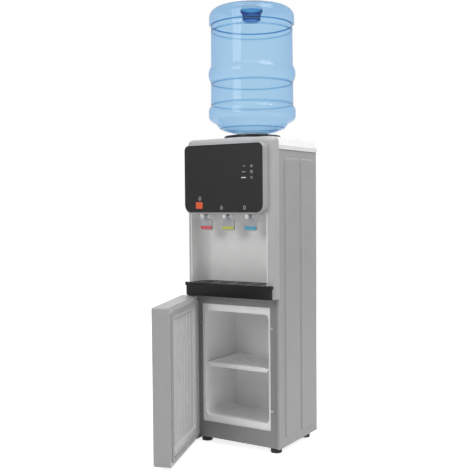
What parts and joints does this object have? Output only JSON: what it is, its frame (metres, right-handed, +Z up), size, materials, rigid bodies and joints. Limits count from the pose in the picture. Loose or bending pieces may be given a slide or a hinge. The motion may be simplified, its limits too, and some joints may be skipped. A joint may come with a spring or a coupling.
{
  "type": "top-loading water cooler",
  "caption": "Free-standing water cooler with an inverted bottle on top, push-lever taps over a drip tray and a storage cabinet with a hinged door below.",
  "frame": {"origin": "on the floor, under the middle of the four feet and of the steel cabinet's plan", "axes": "+Z up, -Y out of the front with the taps, +X to the right seen from the front"},
  "size_m": [0.3367, 0.5822, 1.3613],
  "materials": {
    "side_paint": "satin silver-grey paint on pressed steel",
    "zinc_steel": "plain zinc-coated steel sheet",
    "silver_plastic": "silver painted moulding",
    "pale_plastic": "light grey fine-grained moulding",
    "cover_plastic": "pale silver moulding",
    "frame_plastic": "mid grey moulding",
    "black_gloss": "gloss black",
    "dark_plastic": "dark grey moulding",
    "orange_plastic": "orange moulding",
    "bottle_blue": "clear light blue polycarbonate",
    "cap_plastic": "blue push-fit cap",
    "white_plastic": "white moulding",
    "lever_grey": "smoky clear moulding",
    "tab_red": "red moulding",
    "tab_green": "yellow-green moulding",
    "tab_cyan": "cyan moulding",
    "stainless": "stainless steel",
    "foam": "expanded foam",
    "soft_rubber": "soft black rubber",
    "seal_rubber": "pale grey door seal",
    "silicone": "clear silicone",
    "board_green": "circuit board",
    "ceramic": "white ceramic",
    "cast_aluminium": "plain aluminium",
    "black_plastic": "black moulding",
    "rocker_red": "red moulding",
    "rocker_green": "green moulding"
  },
  "bodies": {
    "cabinet": {"side_panel_right": "side_paint", "side_panel_left": "side_paint", "rear_panel": "zinc_steel", "base_plate": "zinc_steel", "feet": "soft_rubber", "tank_deck": "zinc_steel", "tank_shelf": "zinc_steel", "front_housing": "silver_plastic", "alcove_panel": "pale_plastic", "head_housing": "silver_plastic", "control_fascia": "black_gloss", "control_board": "board_green", "top_cover": "cover_plastic", "bottle_well": "white_plastic", "bottle_collar": "dark_plastic", "water_probe": "white_plastic", "lower_frame": "frame_plastic", "cabinet_liner": "pale_plastic", "hinge_brackets": "zinc_steel", "tap_nozzles": "white_plastic", "cold_tank": "stainless", "cold_tank_jacket": "foam", "tank_separator": "white_plastic", "hot_tank": "stainless", "hot_tank_jacket": "foam", "band_heater": "stainless", "thermostats": "black_plastic", "water_tubes": "silicone", "drain_cap": "white_plastic", "cold_block": "cast_aluminium", "cooling_module": "ceramic", "heat_sink": "cast_aluminium", "fan_frame": "black_plastic", "switch_bodies": "black_plastic", "power_inlet": "black_plastic", "screws": "stainless", "hot_tap": "white_plastic", "room_tap": "white_plastic", "cold_tap": "white_plastic"},
    "door": {"door_shell": "silver_plastic", "door_liner": "pale_plastic", "door_gasket": "seal_rubber", "hinge_bushes": "white_plastic"},
    "bottle": {"bottle": "bottle_blue", "bottle_cap": "cap_plastic"},
    "drip_tray": {"drip_tray": "dark_plastic"},
    "drip_grille": {"drip_grille": "dark_plastic"},
    "shelf": {"shelf": "pale_plastic"},
    "hot_lever": {"hot_lever": "lever_grey", "hot_tab": "tab_red"},
    "room_lever": {"room_lever": "lever_grey", "room_tab": "tab_green"},
    "cold_lever": {"cold_lever": "lever_grey", "cold_tab": "tab_cyan"},
    "lock_button": {"lock_button": "orange_plastic"},
    "fan_rotor": {"fan_rotor": "black_plastic"},
    "hot_rocker": {"hot_rocker": "rocker_red"},
    "cold_rocker": {"cold_rocker": "rocker_green"}
  },
  "joints": [
    {"name": "door_hinge", "type": "hinge", "parent": "cabinet", "child": "door", "pos_m": [-0.148, -0.147, 0.243], "axis": [0, 0, -1], "range_deg": [-69.8, 55.2]},
    {"name": "bottle_lift", "type": "slide", "parent": "cabinet", "child": "bottle", "axis": [0, 0, 1], "range_m": [0, 0.15]},
    {"name": "tray_pull", "type": "slide", "parent": "cabinet", "child": "drip_tray", "axis": [0, -1, 0], "range_m": [0, 0.08]},
    {"name": "grille_lift", "type": "slide", "parent": "drip_tray", "child": "drip_grille", "axis": [0, 0, 1], "range_m": [0, 0.03]},
    {"name": "shelf_pull", "type": "slide", "parent": "cabinet", "child": "shelf", "axis": [0, -1, 0], "range_m": [0, 0.05]},
    {"name": "hot_lever_pivot", "type": "hinge", "parent": "cabinet", "child": "hot_lever", "pos_m": [-0.083, -0.149, 0.716], "axis": [1, 0, 0], "range_deg": [0, 14], "stiffness_Nm_per_rad": 0.15},
    {"name": "room_lever_pivot", "type": "hinge", "parent": "cabinet", "child": "room_lever", "pos_m": [-0.004, -0.149, 0.716], "axis": [1, 0, 0], "range_deg": [0, 14], "stiffness_Nm_per_rad": 0.15},
    {"name": "cold_lever_pivot", "type": "hinge", "parent": "cabinet", "child": "cold_lever", "pos_m": [0.075, -0.149, 0.716], "axis": [1, 0, 0], "range_deg": [0, 14], "stiffness_Nm_per_rad": 0.15},
    {"name": "lock_push", "type": "slide", "parent": "cabinet", "child": "lock_button", "axis": [0, 1, 0], "range_m": [0, 0.0025], "stiffness_N_per_m": 400},
    {"name": "fan_spin", "type": "hinge", "parent": "cabinet", "child": "fan_rotor", "pos_m": [0, 0.115, 0.8153], "axis": [0, 1, 0], "continuous": true},
    {"name": "hot_rocker_pivot", "type": "hinge", "parent": "cabinet", "child": "hot_rocker", "pos_m": [0.07, 0.125, 0.52], "axis": [1, 0, 0], "range_deg": [-18, 0]},
    {"name": "cold_rocker_pivot", "type": "hinge", "parent": "cabinet", "child": "cold_rocker", "pos_m": [0.1, 0.125, 0.52], "axis": [1, 0, 0], "range_deg": [-18, 0]}
  ]
}
